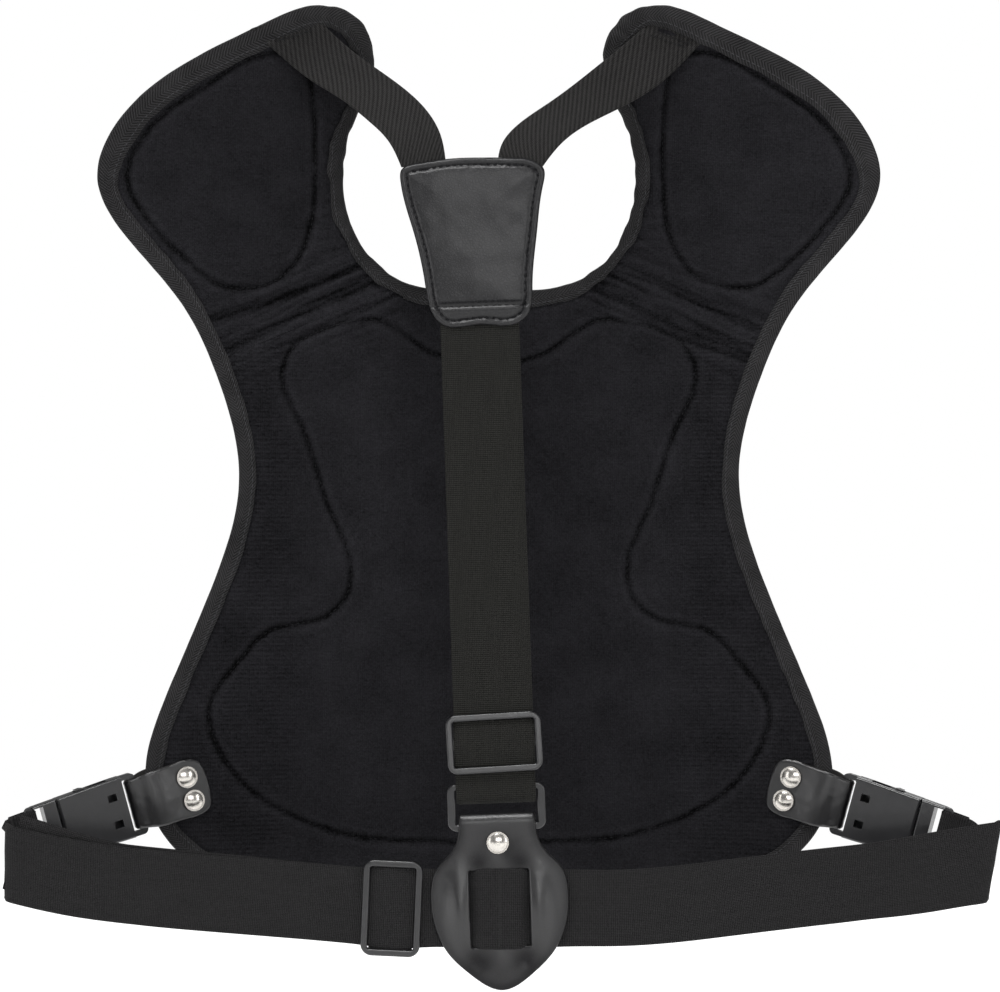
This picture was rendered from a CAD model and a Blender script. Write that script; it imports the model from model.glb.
import math
import bpy
import numpy as np
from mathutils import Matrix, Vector
from mathutils.kdtree import KDTree


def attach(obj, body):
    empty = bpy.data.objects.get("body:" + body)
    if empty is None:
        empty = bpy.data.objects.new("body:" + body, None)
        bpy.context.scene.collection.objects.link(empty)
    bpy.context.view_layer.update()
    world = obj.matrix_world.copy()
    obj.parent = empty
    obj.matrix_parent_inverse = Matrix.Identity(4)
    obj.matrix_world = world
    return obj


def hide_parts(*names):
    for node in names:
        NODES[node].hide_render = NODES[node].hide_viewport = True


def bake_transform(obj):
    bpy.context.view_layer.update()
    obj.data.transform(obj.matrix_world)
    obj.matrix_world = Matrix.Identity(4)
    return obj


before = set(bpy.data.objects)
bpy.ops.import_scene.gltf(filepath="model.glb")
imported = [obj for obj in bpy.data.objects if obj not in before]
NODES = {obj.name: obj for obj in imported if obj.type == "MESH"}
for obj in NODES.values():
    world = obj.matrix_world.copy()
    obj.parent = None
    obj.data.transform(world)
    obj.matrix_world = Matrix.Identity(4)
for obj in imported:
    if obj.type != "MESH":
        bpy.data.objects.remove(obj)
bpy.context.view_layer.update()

# Chest protector seen from the wearer's side. Lengths here are millimetres until a mesh is made.
# X right, Z up, -Y towards the wearer; the pad is a curved shell and d is the depth outwards from its lining.

COARSE = 1.0

BODY_RADIUS, SHOULDER_RADIUS, SHOULDER_START = 420.0, 260.0, 20.0
PAD_HALF = [
    (0, 0), (48, 5), (72, 28), (79.5, 55), (74, 91), (62, 121), (68, 142), (90, 151),
    (118, 142), (162, 119), (198, 87), (209, 55), (193, 24), (167, -8), (147, -50), (136, -104),
    (149, -159), (175, -223), (185, -263), (177, -294), (146, -321), (75, -332), (0, -334),
]
CENTRE_HALF = [
    (0, -40), (32, -34), (60, -17), (85, -20), (109, -35), (113, -46), (104, -72), (87, -121),
    (76, -150), (78, -167), (89, -179), (104, -183), (120, -187), (136, -203), (152, -229),
    (149, -246), (130, -273), (103, -290), (72, -300), (30, -303), (0, -304),
]
FLANK_BLOCK = [
    (125, -54), (113, -67), (98, -114), (86, -146), (87, -163), (96, -173), (112, -177), (127, -179),
    (138, -185), (142, -183), (135.5, -164), (125.5, -127), (123, -101), (125.5, -78), (129.5, -61),
]
SHOULDER_BLOCK = [
    (95, 62), (98, 32), (107, 13), (119, 3), (132, 0), (145, 1), (160, 11), (175, 25), (186, 39),
    (194, 56), (187, 77), (171, 95), (149, 110), (119, 125.5), (102, 123), (96, 105),
]
FOLD_INNER, FOLD_OUTER, FOLD_HALF = (52.0, 12.0), (154.0, -32.0), 10.0
HARNESS = (6.0, -328.0)
LEAN = math.radians(-2.0)
BUCKLE_O = np.array([189.5, -39.5, -278.8])
BUCKLE_U = np.array([0.8883, -0.3734, -0.2672])
BUCKLE_V = np.array([0.2464, -0.1036, 0.9636])
BUCKLE_N = np.array([-0.3875, -0.9219, 0.0])
BELT_Z = -328.5


# ---- curves and fields ----

def smooth(t):
    t = np.clip(t, 0, 1)
    return t * t * (3 - 2 * t)


def bell(t, width):
    return np.exp(-(t / width) ** 2)


def pillow(t, rise, reach):
    return rise * (1 - np.exp(-np.clip(t, 0, None) / reach))


def cloudy(x, y, seed):
    """Smooth noise from -1 to 1 over a plane, with features about one unit apart."""
    table = np.random.default_rng(seed).uniform(-1, 1, (256, 256))
    i, j = np.floor(x).astype(int), np.floor(y).astype(int)
    s, t = smooth(x - i), smooth(y - j)
    near = table[i & 255, j & 255] * (1 - s) + table[(i + 1) & 255, j & 255] * s
    far = table[i & 255, (j + 1) & 255] * (1 - s) + table[(i + 1) & 255, (j + 1) & 255] * s
    return near * (1 - t) + far * t


def mirrored(half):
    return list(half) + [(-x, z) for x, z in reversed(half[1:-1])]


def other_side(points):
    return [(-x, z) for x, z in reversed(points)]


def cubic(points, step, closed):
    """Points about a step apart on the smooth curve through some points, in any number of dimensions."""
    p = np.array(points, float)
    n = len(p)
    ahead = np.roll(p, -1, 0)
    h = np.linalg.norm(ahead - p, axis=1)
    a, rhs = np.eye(n), np.zeros_like(p)
    for i in range(0 if closed else 1, n if closed else n - 1):
        back, on = h[i - 1], h[i]
        a[i, i], a[i, i - 1], a[i, (i + 1) % n] = 2 * (back + on), back, on
        rhs[i] = 6 * ((ahead[i] - p[i]) / on - (p[i] - p[i - 1]) / back)
    m = np.linalg.solve(a, rhs)
    out = []
    for i in range(n if closed else n - 1):
        long, parts = h[i], max(2, round(h[i] / step))
        t = (np.arange(parts) / parts * long)[:, None]
        q, mq = ahead[i], m[(i + 1) % n]
        out.append(m[i] * (long - t) ** 3 / (6 * long) + mq * t ** 3 / (6 * long)
                   + (p[i] / long - m[i] * long / 6) * (long - t) + (q / long - mq * long / 6) * t)
    return np.vstack(out if closed else out + [p[-1:]])


def inside(shape, points):
    x, z = points[:, 0], points[:, 1]
    found = np.zeros(len(points), bool)
    for (ax, az), (bx, bz) in zip(shape, np.roll(shape, -1, 0)):
        if az != bz:
            found ^= ((az > z) != (bz > z)) & (x < (bx - ax) * (z - az) / (bz - az) + ax)
    return found


def finder(shape):
    tree = KDTree(len(shape))
    for i, point in enumerate(shape):
        tree.insert((point[0], point[1], 0), i)
    tree.balance()
    return tree


def depth_in(shape, points):
    """Distance from the edge of a closed shape, positive inside it."""
    tree = finder(shape)
    far = np.array([tree.find((x, z, 0))[2] for x, z in points])
    return np.where(inside(shape, points), far, -far)


def along(points):
    """Distance along a line from its first point."""
    return np.concatenate([[0], np.cumsum(np.linalg.norm(np.diff(points, axis=0), axis=1))])


def resample(points, places, s=None):
    """Values at places along a line, whose own places are s if they aren't its arc lengths."""
    s = along(points) if s is None else s
    return np.stack([np.interp(places, s, points[:, k]) for k in range(points.shape[1])], 1)


def directions(points):
    d = np.gradient(points, axis=0)
    return d / np.linalg.norm(d, axis=1)[:, None]


OUTLINE = cubic(mirrored(PAD_HALF), 0.8, True)
CENTRE = cubic(mirrored(CENTRE_HALF), 0.8, True)
SHOULDERS, FLANKS = ({"right": cubic(block, 0.8, True), "left": cubic(other_side(block), 0.8, True)}
                     for block in (SHOULDER_BLOCK, FLANK_BLOCK))


def fold_place(points):
    """Distance above the fold line of the nearer shoulder, and along it from its inner end."""
    run = np.array(FOLD_OUTER) - np.array(FOLD_INNER)
    run /= np.linalg.norm(run)
    off = np.stack([np.abs(points[:, 0]) - FOLD_INNER[0], points[:, 1] - FOLD_INNER[1]], 1)
    return off @ np.array([-run[1], run[0]]), off @ run


def shell_y(x, z, d):
    over = np.clip(z - SHOULDER_START, 0, None)
    radius = BODY_RADIUS - SHOULDER_RADIUS + np.sqrt((SHOULDER_RADIUS + d) ** 2 - over ** 2)
    return np.sqrt(radius ** 2 - x ** 2) - BODY_RADIUS


def on_pad(x, z, d):
    return np.stack([x, shell_y(x, z, d), z], -1)


def on_harness(x, y, h):
    """World place of a point in the harness's own leaning frame, whose foot is on the belt."""
    c, s = math.cos(LEAN), math.sin(LEAN)
    return np.stack([HARNESS[0] + x * c + h * s, y + 0 * x, HARNESS[1] - x * s + h * c], -1)


def on_buckle(u, v, n, side):
    """World place of a point in a buckle's own frame: u towards its belt, v up its width, n towards the wearer."""
    ahead, up, inward = (np.multiply.outer(*pair) for pair in ((u, BUCKLE_U), (v, BUCKLE_V), (n, BUCKLE_N)))
    place = BUCKLE_O + ahead + up + inward
    return place * np.array([-1.0 if side == "left" else 1.0, 1, 1])


# ---- meshes ----

def placed(name, data):
    """A new object in the scene."""
    made = bpy.data.objects.new(name, data)
    bpy.context.scene.collection.objects.link(made)
    return made


def make(name, verts, faces, cloth, materials, body=None, index=None, slot=None, stands_for=()):
    """A mesh object from millimetres, with its flat cloth coordinates kept for the materials."""
    mesh = bpy.data.meshes.new(name)
    mesh.from_pydata((np.asarray(verts) / 1000).tolist(), [], faces)
    flat = mesh.attributes.new("cloth", "FLOAT_VECTOR", "POINT")
    flat.data.foreach_set("vector", np.asarray(cloth, np.float32).ravel())
    for material in materials:
        mesh.materials.append(material)
    if index is not None:
        mesh.polygons.foreach_set("material_index", np.asarray(index, np.int32))
    mesh.polygons.foreach_set("use_smooth", np.ones(len(mesh.polygons), bool))
    mesh.validate()
    mesh.set_sharp_from_angle(angle=math.radians(48))
    piece = placed(name, mesh)
    if body:
        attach(piece, body)
    if stands_for:
        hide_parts(*stands_for)
    return piece


def patch(shape, step, holes=()):
    """A grid of square cells in a shape, with its rim moved onto the shape's edge: points, cells, rim edges."""
    low, high = shape.min(0) - step, shape.max(0) + step
    xs, zs = np.arange(low[0], high[0] + step, step), np.arange(low[1], high[1] + step, step)
    nx, nz = len(xs), len(zs)
    grid = np.stack(np.meshgrid(xs, zs), -1).reshape(-1, 2)
    middle = np.stack(np.meshgrid(xs[:-1] + step / 2, zs[:-1] + step / 2), -1).reshape(-1, 2)
    keep = inside(shape, middle)
    for hole in holes:
        keep &= ~inside(hole, middle)
    ring = np.pad(keep.reshape(nz - 1, nx - 1), 1)
    row, col = np.nonzero(ring[1:-1, 1:-1])
    corner = row * nx + col
    cells = np.stack([corner, corner + 1, corner + nx + 1, corner + nx], 1)
    beside = (ring[row, col + 1], ring[row + 1, col + 2], ring[row + 2, col + 1], ring[row + 1, col])
    rim = np.vstack([cells[~taken][:, [k, (k + 1) % 4]] for k, taken in enumerate(beside)])
    where = np.vstack([shape, *holes])
    edge = finder(where)
    for i in np.unique(rim):
        grid[i] = where[edge.find((grid[i][0], grid[i][1], 0))[1]]
    used = np.unique(cells)
    number = np.full(len(grid), -1)
    number[used] = np.arange(len(used))
    return grid[used], number[cells], number[rim]


def slab(name, shape, step, near, far, materials, holes=(), rim_material=0, crease=None, **options):
    """A closed piece over a shape: near and far give its two faces, crease how deep in a seam a point is."""
    points, cells, rim = patch(shape, step, holes)
    n = len(points)
    sides = np.stack([rim[:, 1], rim[:, 0], rim[:, 0] + n, rim[:, 1] + n], 1)
    faces = np.vstack([cells, cells[:, ::-1] + n, sides]).tolist()
    index = np.repeat([0, min(1, len(materials) - 1), rim_material], [len(cells), len(cells), len(rim)])
    cloth = np.vstack([np.c_[points, crease(points) if crease else np.zeros(n)], np.c_[points, np.zeros(n)]])
    return make(name, np.vstack([near(points), far(points)]), faces, cloth, materials, index=index, **options)


def tube_faces(count, width):
    """Faces of a tube of count rings with width points each, and its two end caps."""
    i, j = (k.ravel() for k in np.meshgrid(np.arange(count - 1) * width, np.arange(width), indexing="ij"))
    after = (j + 1) % width
    sides = np.stack([i + j, i + after, i + width + after, i + width + j], 1).tolist()
    return sides + [list(range(width))[::-1], list(range((count - 1) * width, count * width))]


def lofted(name, rings, cloth, materials, **options):
    """A tube with end caps from rings of points: rings is (count, points, 3)."""
    faces = tube_faces(*rings.shape[:2])
    return make(name, rings.reshape(-1, 3), faces, cloth.reshape(-1, 3), materials, **options)


def selvedge(places, thick):
    """Half the thickness of webbing over its width: round edges, with a bead inside each."""
    out = np.abs(places)
    edge = np.sqrt(np.clip(1 - np.clip((out - 0.965) / 0.035, 0, 1) ** 2, 0.04, 1))
    return thick / 2 * edge * (1 + 0.14 * bell(out - 0.93, 0.035))


def two_faced(sheet, face, half):
    """Rings of a closed band from its middle sheet, its face's direction and half its thickness."""
    return np.concatenate([sheet + face * half, (sheet - face * half)[:, ::-1]], 1)


def web(names, centre, across, width, thick, material, bow=None, columns=26, shift=0.0, cut=None, lean=0.0,
        **options):
    """Woven webbing along a centre line: across is its width's direction, bow its offset at each place over
    its width, lean how far its upper edge runs ahead in x. With a cut it becomes two pieces, with two names."""
    centre = np.asarray(centre, float)
    n = len(centre)
    run = directions(centre)
    across = np.broadcast_to(across, centre.shape)
    across = across - (across * run).sum(1)[:, None] * run
    across /= np.linalg.norm(across, axis=1)[:, None]
    face = np.cross(run, across)
    width = np.broadcast_to(width, n)
    places = np.linspace(-1, 1, columns)
    lift = bow(along(centre)[:, None], places[None, :]) if bow else np.zeros((n, columns))
    sheet = centre[:, None] + across[:, None] * (places[None, :, None] * width[:, None, None] / 2)
    sheet = sheet + face[:, None] * lift[:, :, None]
    sheet[:, :, 0] += (sheet[:, :, 2] - centre[:, None, 2]) * np.broadcast_to(lean, n)[:, None]
    rings = two_faced(sheet, face[:, None], selvedge(places, thick)[None, :, None])
    v = np.concatenate([places, places[::-1]])[None, :] * width.max() / 2
    w = np.repeat([0.0, 9.0], columns)[None, :]
    cloth = np.stack(np.broadcast_arrays((along(centre) + shift)[:, None], v, w), -1)
    if cut is None:
        return lofted(names, rings, cloth, [material], **options)
    return [lofted(name, rings[part], cloth[part], [material], **options)
            for name, part in zip(names, (slice(0, cut + 1), slice(cut, n)))]


def stitches(name, line, up, material, long=2.6, gap=0.9, thick=0.32, **options):
    """A row of thread stitches lying on a line in space, as small capsules; up points out of the cloth."""
    s = along(line)
    starts = np.arange(gap, s[-1] - long, long + gap)
    bend, girth = np.array([-0.5, -0.36, 0, 0.36, 0.5]), np.array([0.25, 0.9, 1.0, 0.9, 0.25]) * thick
    sink = np.array([-0.9, -0.2, 0.25, -0.2, -0.9]) * thick
    turn = np.arange(6)[None, :, None] * math.pi / 3
    verts, faces, cloth, capsule = [], [], [], tube_faces(5, 6)
    for k, start in enumerate(starts):
        places = start + long / 2 + bend * long * (1 + 0.1 * math.sin(k * 2.4))
        mid, lift = resample(line, places), resample(up, places, s)
        run = mid[-1] - mid[0]
        run /= np.linalg.norm(run)
        circle = np.cross(run, lift)[:, None] * np.cos(turn) + lift[:, None] * np.sin(turn)
        verts.append(((mid + lift * sink[:, None])[:, None] + circle * girth[:, None, None]).reshape(-1, 3))
        faces += [[30 * k + corner for corner in face] for face in capsule]
        cloth.append(np.c_[np.repeat(places, 6), np.tile(np.arange(6.0), 5), np.full(30, float(k))])
    return make(name, np.vstack(verts), faces, np.vstack(cloth), [material], **options)


# ---- materials ----

class Paint:
    """A Principled material, with short ways to add the nodes that make its pattern."""

    def __init__(self, name, cad=False, **values):
        self.mat = bpy.data.materials.new(name)
        self.mat.use_nodes = True
        self.tree = self.mat.node_tree
        self.tree.nodes.clear()
        self.shader = self.tree.nodes.new("ShaderNodeBsdfPrincipled")
        out = self.tree.nodes.new("ShaderNodeOutputMaterial")
        self.tree.links.new(self.shader.outputs[0], out.inputs[0])
        for socket, value in values.items():
            self.shader.inputs[socket.replace("_", " ")].default_value = value
        if cad:
            place = self.node("ShaderNodeTexCoord").outputs["Object"]
            self.place = self.scaled(place, (1000, 1000, 1000))
        else:
            attribute = self.node("ShaderNodeAttribute")
            attribute.attribute_name = "cloth"
            self.place = attribute.outputs["Vector"]

    def node(self, kind, **settings):
        made = self.tree.nodes.new(kind)
        for key, value in settings.items():
            setattr(made, key, value)
        return made

    def feed(self, socket, value):
        if isinstance(value, bpy.types.NodeSocket):
            self.tree.links.new(value, socket)
        elif value is not None:
            socket.default_value = value

    def scaled(self, place, factors):
        made = self.node("ShaderNodeVectorMath", operation="MULTIPLY")
        self.feed(made.inputs[0], place)
        self.feed(made.inputs[1], factors)
        return made.outputs[0]

    def math(self, operation, a, b=None):
        made = self.node("ShaderNodeMath", operation=operation)
        self.feed(made.inputs[0], a)
        self.feed(made.inputs[1], b)
        return made.outputs[0]

    def times(self, a, b):
        return self.math("MULTIPLY", a, b)

    def sum(self, *terms):
        """The sum of pairs of a value and its weight."""
        parts = [value if weight == 1 else self.times(value, weight) for value, weight in terms]
        total = parts[0]
        for part in parts[1:]:
            total = self.math("ADD", total, part)
        return total

    def split(self):
        made = self.node("ShaderNodeSeparateXYZ")
        self.feed(made.inputs[0], self.place)
        return made.outputs

    def noise(self, size, detail=2.0, rough=0.55, stretch=(1, 1, 1)):
        """Noise from 0 to 1 whose features are about size millimetres across."""
        made = self.node("ShaderNodeTexNoise")
        self.feed(made.inputs["Vector"], self.scaled(self.place, tuple(1 / k for k in stretch)))
        for socket, value in (("Scale", 1.0 / size), ("Detail", detail), ("Roughness", rough)):
            self.feed(made.inputs[socket], value)
        return made.outputs["Fac"]

    def cells(self, size):
        """Distance to the nearest border of irregular cells about size millimetres across."""
        made = self.node("ShaderNodeTexVoronoi", feature="DISTANCE_TO_EDGE")
        self.feed(made.inputs["Vector"], self.place)
        self.feed(made.inputs["Scale"], 1.0 / size)
        return made.outputs["Distance"]

    def waves(self, phase, pitch):
        """A wave from 0 to 1 that repeats each pitch millimetres of phase."""
        turn = self.math("SINE", self.times(phase, 2 * math.pi / pitch))
        return self.times(self.math("ADD", turn, 1.0), 0.5)

    def range(self, value, low, high, out_low=0, out_high=1):
        made = self.node("ShaderNodeMapRange")
        for k, v in enumerate((value, low, high, out_low, out_high)):
            self.feed(made.inputs[k], v)
        return made.outputs[0]

    def colours(self, value, dark, light):
        made = self.node("ShaderNodeMix", data_type="RGBA")
        self.feed(made.inputs[0], value)
        self.feed(made.inputs[6], (*dark, 1))
        self.feed(made.inputs[7], (*light, 1))
        self.feed(self.shader.inputs["Base Color"], made.outputs[2])

    def bump(self, layers):
        """Bumps from pairs of height and millimetres."""
        normal = None
        for height, depth in layers:
            made = self.node("ShaderNodeBump")
            made.inputs["Distance"].default_value = depth / 1000
            self.feed(made.inputs["Height"], height)
            self.feed(made.inputs["Normal"], normal)
            normal = made.outputs[0]
        self.feed(self.shader.inputs["Normal"], normal)

    def rough(self, value, low, high):
        self.feed(self.shader.inputs["Roughness"], self.range(value, 0, 1, low, high))


def knit(name, dark, light):
    """Brushed knit: a fine pile over narrow ribs, with soft patches where the pile lies another way."""
    p = Paint(name, Specular_IOR_Level=0.05, Sheen_Weight=0.02, Sheen_Roughness=0.5)
    x, z, crease = p.split()
    pile, tuft, patches = p.noise(1.15, 3, 0.75), p.noise(3.2, 3), p.noise(26, 3)
    ribs = p.times(p.waves(x, 1.15), p.waves(z, 0.85))
    flank = p.times(p.range(p.math("ABSOLUTE", x), 92, 118), p.range(z, -34, -12, 1, 0))
    courses = p.times(p.waves(p.sum((z, 1), (tuft, 1.2)), 2.5), flank)
    tone = p.sum((pile, 0.85), (tuft, 0.3), (ribs, 0.125), (patches, 0.32), (crease, -0.55), (courses, -0.08))
    p.colours(p.range(tone, 0.5, 1.02), dark, light)
    p.rough(tuft, 0.82, 1.0)
    p.bump([(ribs, 0.16), (courses, 0.2), (tuft, 0.4), (pile, 0.6)])
    return p.mat


def tape(name, dark, light):
    """Twill tape: diagonal ribs that turn back at its middle, crossed by fine threads."""
    p = Paint(name, Specular_IOR_Level=0.1, Sheen_Weight=0.04, Sheen_Roughness=0.4)
    u, v, _ = p.split()
    ribs = p.math("POWER", p.waves(p.sum((u, 1), (p.math("PINGPONG", v, 5.0), 1.25)), 1.9), 0.7)
    threads = p.waves(p.math("SUBTRACT", u, v), 0.62)
    fuzz = p.noise(0.7, 3, 0.7)
    p.colours(p.range(p.sum((ribs, 0.5), (fuzz, 0.6), (p.noise(14, 2), 0.5)), 0.45, 1.2), dark, light)
    p.rough(fuzz, 0.7, 0.95)
    p.bump([(ribs, 0.4), (threads, 0.1), (fuzz, 0.2)])
    return p.mat


def elastic(name, dark, light, slant=0.0, pitch=1.05):
    """Woven elastic: ribs across it, fine threads along it, and fibres of slightly different colour."""
    p = Paint(name, Specular_IOR_Level=0.1, Sheen_Weight=0.03, Sheen_Roughness=0.4)
    u, v, _ = p.split()
    across, threads = p.waves(p.sum((u, 1), (v, slant)), pitch), p.waves(v, 0.92)
    fuzz, heather, slub = p.noise(1.0, 3, 0.75), p.noise(1.9, 2), p.noise(3.2, 2, 0.5, (6, 0.5, 1))
    cloth = p.times(p.math("ADD", across, 0.35), p.math("ADD", threads, 0.5))
    p.colours(p.range(p.sum((cloth, 0.34), (fuzz, 0.7), (slub, 0.2), (heather, 0.2)), 0.48, 1.05), dark, light)
    p.rough(fuzz, 0.66, 0.92)
    p.bump([(across, 0.3), (threads, 0.13), (fuzz, 0.4)])
    return p.mat


def leather(name, dark, light, gloss, grain, shine=0.62):
    """Grained leather: small creased cells with pores, and a polish that is lost in its creases."""
    p = Paint(name, Specular_IOR_Level=0.5, Coat_Weight=0.2, Coat_Roughness=0.25)
    cell, crease = p.range(p.cells(grain), 0.0, 0.26), p.split()[2]
    fine, mid, broad = p.noise(0.7, 3, 0.6), p.noise(2.2, 3, 0.6), p.noise(8, 3)
    p.colours(p.range(p.sum((cell, 1), (broad, 1)), 0.4, 1.7), dark, light)
    p.rough(p.sum((broad, 0.7), (fine, 0.3), (crease, 1)), *gloss)
    p.feed(p.shader.inputs["Specular IOR Level"], p.range(crease, 0, 1, shine, 0.02))
    p.bump([(broad, 0.12 * grain), (mid, 0.08 * grain), (cell, 0.05 * grain), (fine, 0.02)])
    return p.mat


def plastic(name, dark, light, gloss):
    """Moulded plastic with a fine spark texture, faint flow marks and handling scratches."""
    p = Paint(name, cad=True, Specular_IOR_Level=0.6, Coat_Weight=0.25, Coat_Roughness=0.2)
    spark, flow, scratch = p.noise(0.35, 3, 0.7), p.noise(5.5, 3), p.noise(1.2, 4, 0.8, (0.25, 1, 3.5))
    wear = p.range(scratch, 0.62, 0.72)
    p.colours(p.range(p.sum((flow, 0.7), (wear, 0.35)), 0.2, 1.0), dark, light)
    p.rough(p.sum((flow, 0.6), (wear, 0.4)), *gloss)
    p.bump([(spark, 0.05), (flow, 0.12)])
    return p.mat


def nickel(name, dark, light):
    """Polished nickel cap with fine scratches and slightly dull patches."""
    p = Paint(name, cad=True, Metallic=1.0)
    scratch, dull = p.noise(0.5, 4, 0.8, (4, 0.3, 4)), p.noise(2.5, 3)
    p.colours(p.range(dull, 0.2, 0.8), dark, light)
    p.rough(p.sum((scratch, 0.5), (dull, 0.5)), 0.12, 0.34)
    p.bump([(scratch, 0.02), (dull, 0.05)])
    return p.mat


def plain_cloth(name, dark, light):
    """Hard-wearing woven cover cloth: a plain basket weave with slightly uneven threads."""
    p = Paint(name, Specular_IOR_Level=0.3, Sheen_Weight=0.05)
    x, z, _ = p.split()
    weave = p.math("ABSOLUTE", p.math("SUBTRACT", p.waves(x, 1.3), p.waves(z, 1.3)))
    fuzz, slub = p.noise(0.5, 2), p.noise(3, 2, 0.5, (5, 0.6, 1))
    p.colours(p.range(p.sum((weave, 0.5), (fuzz, 0.3), (slub, 0.3)), 0.15, 0.85), dark, light)
    p.rough(fuzz, 0.55, 0.8)
    p.bump([(weave, 0.2), (fuzz, 0.06)])
    return p.mat


def thread(name, dark, light):
    """Sewing thread: twisted plies."""
    p = Paint(name, Specular_IOR_Level=0.15)
    s, turn, _ = p.split()
    plies = p.waves(p.sum((s, 1), (turn, 0.14)), 0.8)
    p.colours(plies, dark, light)
    p.rough(plies, 0.5, 0.75)
    p.bump([(plies, 0.08)])
    return p.mat


LINING = knit("brushed_knit", (0.0006, 0.0006, 0.0008), (0.0205, 0.0201, 0.0230))
COVER = plain_cloth("cover_cloth", (0.006, 0.006, 0.007), (0.022, 0.022, 0.025))
BINDING = tape("binding_tape", (0.0045, 0.0044, 0.0046), (0.040, 0.0390, 0.0405))
STRAP = elastic("strap_elastic", (0.0020, 0.0020, 0.0018), (0.0228, 0.0226, 0.0204))
BELT = elastic("belt_elastic", (0.0024, 0.0023, 0.0024), (0.0270, 0.0264, 0.0272), pitch=0.95)
RIBBED = elastic("ribbed_elastic", (0.0020, 0.0019, 0.0019), (0.0290, 0.0280, 0.0276), 1.7, 3.8)
LEATHER = leather("black_leather", (0.0050, 0.0049, 0.0056), (0.0125, 0.0122, 0.0138), (0.36, 0.46), 1.5, 0.33)
SMOOTH_LEATHER = leather("smooth_leather", (0.0050, 0.0049, 0.0054), (0.0110, 0.0107, 0.0120),
                         (0.25, 0.33), 0.7, 0.6)
CUT_EDGE = leather("cut_leather_edge", (0.010, 0.009, 0.009), (0.045, 0.042, 0.040), (0.75, 0.95), 0.6)
PLASTIC = plastic("black_plastic", (0.0080, 0.0080, 0.0090), (0.0200, 0.0200, 0.0220), (0.27, 0.36))
BACKING = plain_cloth("yoke_backing_cloth", (0.007, 0.007, 0.008), (0.020, 0.020, 0.022))
NICKEL = nickel("nickel", (0.55, 0.52, 0.48), (0.78, 0.75, 0.7))
DARK_THREAD = thread("dark_thread", (0.003, 0.003, 0.0035), (0.012, 0.012, 0.0135))
GREY_THREAD = thread("grey_thread", (0.022, 0.022, 0.024), (0.060, 0.060, 0.064))


# ---- pad: quilted lining, cover with raised pockets, edge tape ----

def moved_in(shape, amount):
    """A closed line moved in from a smooth shape's edge."""
    ahead = np.roll(shape, -1, 0)
    turning = np.sum(shape[:, 0] * ahead[:, 1] - ahead[:, 0] * shape[:, 1])
    run = ahead - np.roll(shape, 1, 0)
    run /= np.linalg.norm(run, axis=1)[:, None]
    return shape + np.stack([-run[:, 1], run[:, 0]], 1) * (amount if turning > 0 else -amount)


def clipped(shape, keep):
    """The part of a closed line where keep is true, with straight cuts between its ends."""
    part = shape[keep]
    gaps = np.linalg.norm(np.roll(part, -1, 0) - part, axis=1)
    out = []
    for point, after, gap in zip(part, np.roll(part, -1, 0), gaps):
        count = max(1, int(gap / 0.8))
        out.append(point + (after - point) * (np.arange(count) / count)[:, None])
    return np.vstack(out)


def pad_fields(points):
    edge, centre = depth_in(OUTLINE, points), depth_in(CENTRE, points)
    drift = 0.45 * cloudy(points[:, 0] / 4.5, points[:, 1] / 4.5, 14)
    centre = centre + drift
    shoulder = np.maximum(*(depth_in(SHOULDERS[s], points) for s in SHOULDERS)) + drift
    fold, reach = fold_place(points)
    return edge, centre, shoulder, fold, reach


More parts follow.
